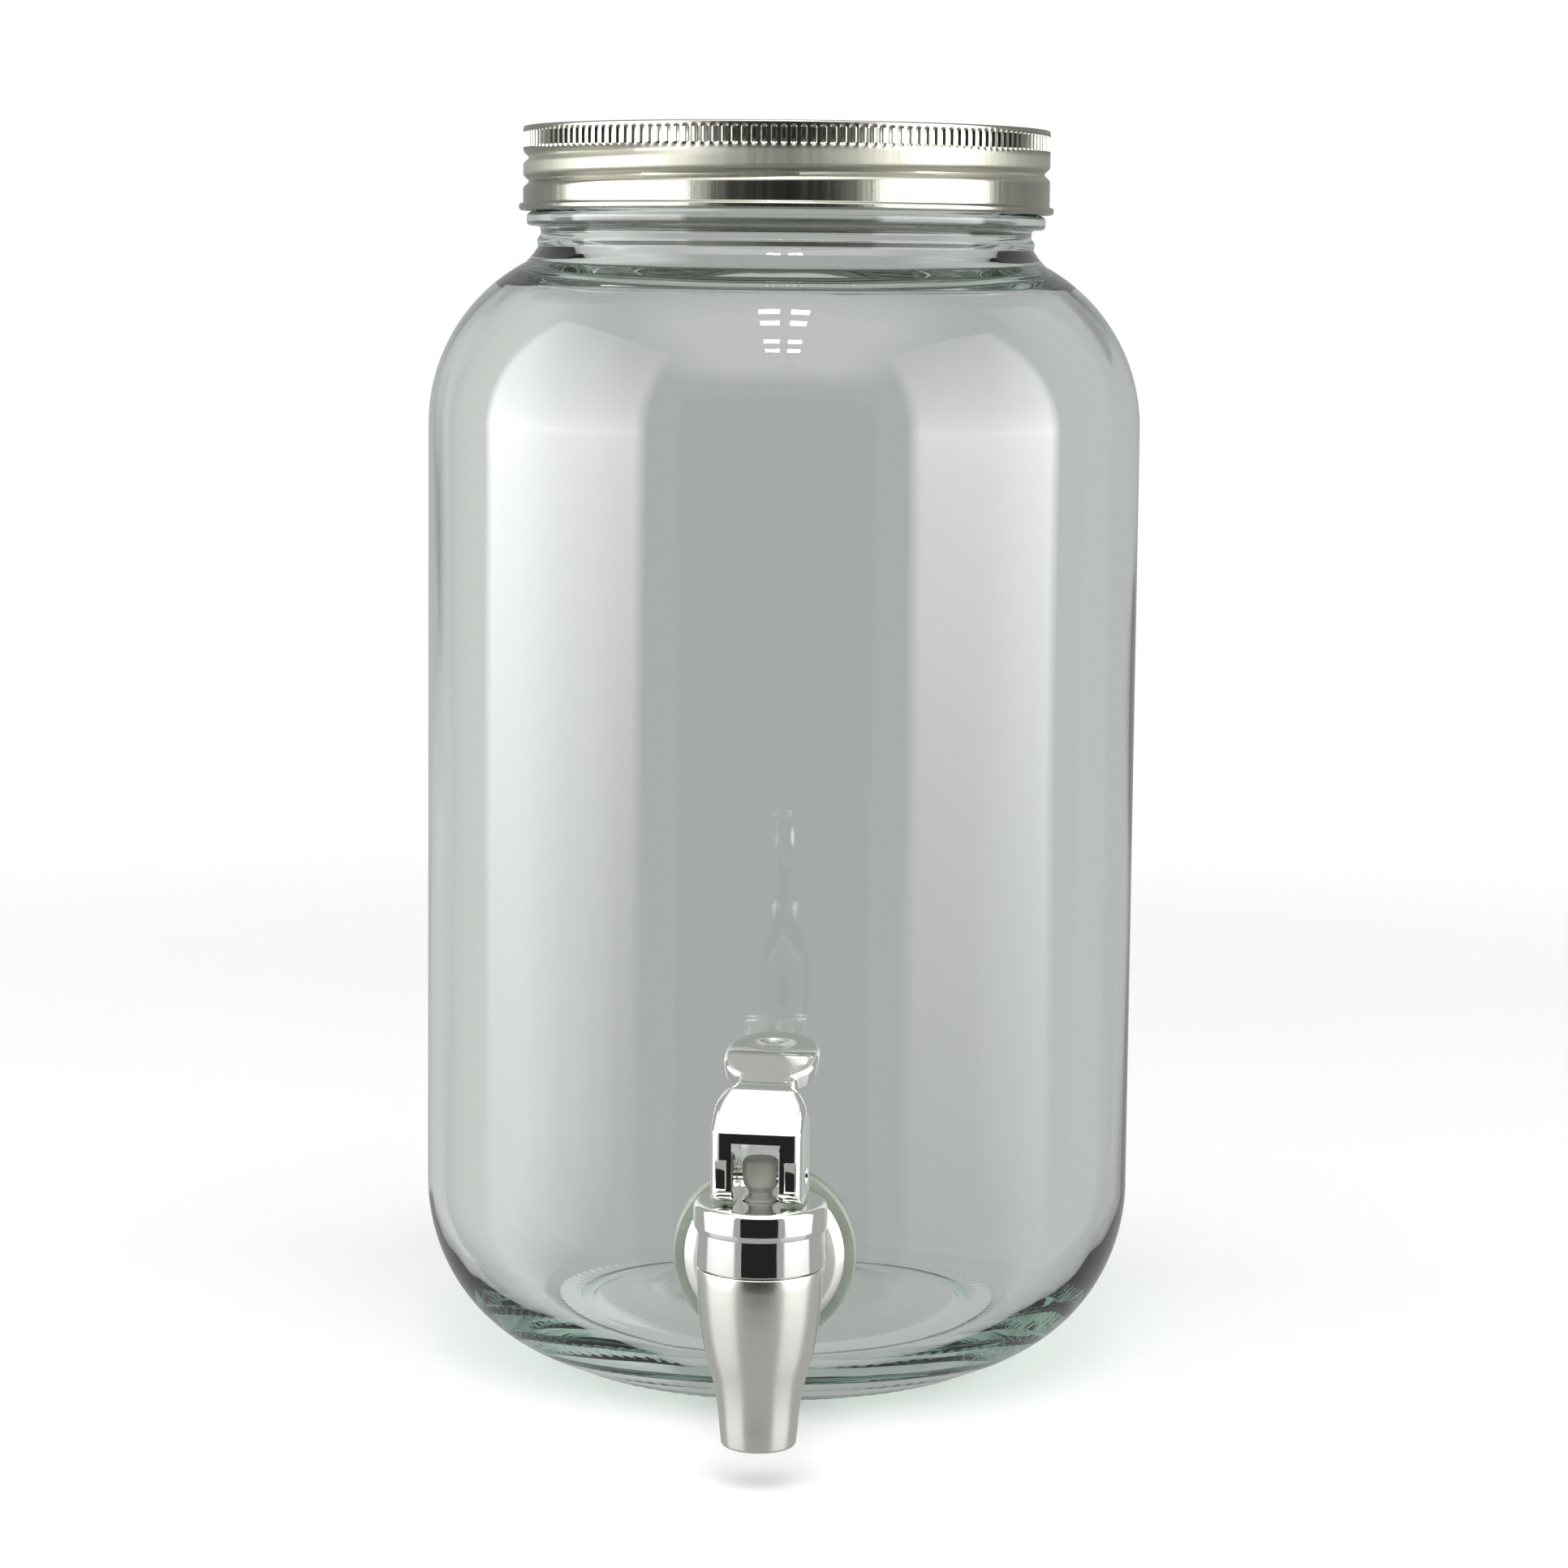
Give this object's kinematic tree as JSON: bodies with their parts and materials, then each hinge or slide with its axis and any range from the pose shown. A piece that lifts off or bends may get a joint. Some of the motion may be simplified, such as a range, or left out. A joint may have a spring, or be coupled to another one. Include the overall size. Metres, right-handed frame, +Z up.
{
  "type": "beverage dispenser",
  "caption": "Clear glass jar drinks dispenser with a rolled-thread metal screw lid and a lever tap near its base.",
  "frame": {"origin": "centre of the bounding box at the surface the jar stands on", "axes": "+Z up along the jar's axis, -Y towards the tap's spout, +X to the right seen from the front"},
  "size_m": [0.154, 0.197, 0.2662],
  "materials": {
    "glass": "clear polished soda-lime glass with a faint green tint",
    "tinplate": "satin tinplate",
    "chrome": "polished chrome plate on plastic",
    "silicone": "milky translucent silicone",
    "stem_plastic": "grey moulded plastic",
    "nut_plastic": "white moulded plastic",
    "liner": "matt white sealing compound",
    "pin_steel": "plain stainless steel"
  },
  "bodies": {
    "root": {"glass_jar": "glass", "tap_body": "chrome", "outer_washer": "silicone", "inner_washer": "silicone", "lock_nut": "nut_plastic", "bonnet": "chrome"},
    "gasket": {"lid_gasket": "liner"},
    "lid": {"lid": "tinplate"},
    "valve": {"seat_cup": "silicone"},
    "stem": {"stem": "stem_plastic", "pivot_pin": "pin_steel"},
    "lever": {"lever": "chrome"}
  },
  "joints": [
    {"name": "lid_rise", "type": "slide", "parent": "root", "child": "gasket", "axis": [0, 0, 1], "range_m": [0, 0.0229]},
    {"name": "lid_turn", "type": "hinge", "parent": "gasket", "child": "lid", "pos_m": [0, 0.02155, 0.25], "axis": [0, 0, 1], "range_deg": [0, 1620]},
    {"name": "valve_lift", "type": "slide", "parent": "root", "child": "valve", "axis": [0, 0, 1], "range_m": [0, 0.00262], "stiffness_N_per_m": 2400, "deforming": ["seat_cup"]},
    {"name": "lever_swivel", "type": "hinge", "parent": "valve", "child": "stem", "pos_m": [0, -0.08545, 0.0615], "axis": [0, 0, 1], "continuous": true},
    {"name": "lever_pull", "type": "hinge", "parent": "stem", "child": "lever", "pos_m": [0, -0.08545, 0.0615], "axis": [0.9925, -0.1219, 0], "range_deg": [0, 50]}
  ],
  "couplings": [
    {"joint": "lid_rise", "follows": "lid_turn", "m_per_rad": 0.00080851},
    {"joint": "lever_pull", "follows": "valve_lift", "rad_per_m": 333.33}
  ]
}
